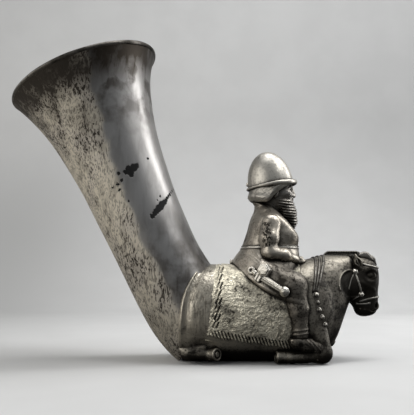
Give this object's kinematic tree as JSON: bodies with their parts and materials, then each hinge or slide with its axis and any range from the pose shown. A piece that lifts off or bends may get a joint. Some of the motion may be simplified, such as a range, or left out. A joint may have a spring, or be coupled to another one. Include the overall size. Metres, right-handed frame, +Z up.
{
  "type": "rhyton drinking cup",
  "caption": "Silver drinking horn with a flared mouth, its lower end a lying horse that carries a bearded rider on a fringed saddle cloth.",
  "frame": {"origin": "on the ground below the middle of the bounding box", "axes": "+X is the way the horse faces, +Z is up, -Y is the horse's right side"},
  "size_m": [0.3279, 0.1346, 0.2779],
  "materials": {
    "horn_silver": "aged silver, satin to polished, vertical streaks, small dark corrosion pits and a few tarnish patches",
    "rim_silver": "aged silver, satin, dark tarnish along the lip",
    "horse_silver": "aged silver, polished on the high places, tarnish in the hollows, chased hatching on the haunch",
    "mane_silver": "aged silver, tarnished, combed grooves",
    "cloth_silver": "aged silver, chased, stippled field with a stepped fringe",
    "trim_silver": "aged silver, satin, worn edges with dark seams",
    "coat_silver": "aged silver, satin, chased hems and folds",
    "face_silver": "aged silver, satin, waved beard",
    "cap_silver": "aged silver, polished, smooth dome with tarnish at the brim"
  },
  "bodies": {
    "root": {"horn": "horn_silver", "rim_bead": "rim_silver", "spout": "rim_silver", "horse_body": "horse_silver", "horse_head": "horse_silver", "mane": "mane_silver", "forelock": "mane_silver", "horse_ear_right": "horse_silver", "horse_ear_left": "horse_silver", "foreleg_right": "horse_silver", "foreleg_left": "horse_silver", "hindleg_right": "horse_silver", "hindleg_left": "horse_silver", "saddle_cloth": "cloth_silver", "neck_straps": "trim_silver", "collar_bells": "trim_silver", "bridle_straps": "trim_silver", "bridle_bosses": "trim_silver", "bit_cheekpieces": "trim_silver", "rider_torso": "coat_silver", "rider_belt": "trim_silver", "rider_head": "face_silver", "rider_beard": "face_silver", "rider_cap": "cap_silver", "cap_brim": "cap_silver", "cap_neck_flap": "cap_silver", "cap_stud": "trim_silver", "coat_stud": "trim_silver", "rider_arm_right": "coat_silver", "rider_arm_left": "coat_silver", "rider_leg_right": "coat_silver", "rider_leg_left": "coat_silver", "rider_shoe_right": "coat_silver", "rider_shoe_left": "coat_silver", "dagger_hilt": "trim_silver", "scabbard": "trim_silver", "scabbard_chape": "trim_silver"}
  },
  "joints": []
}
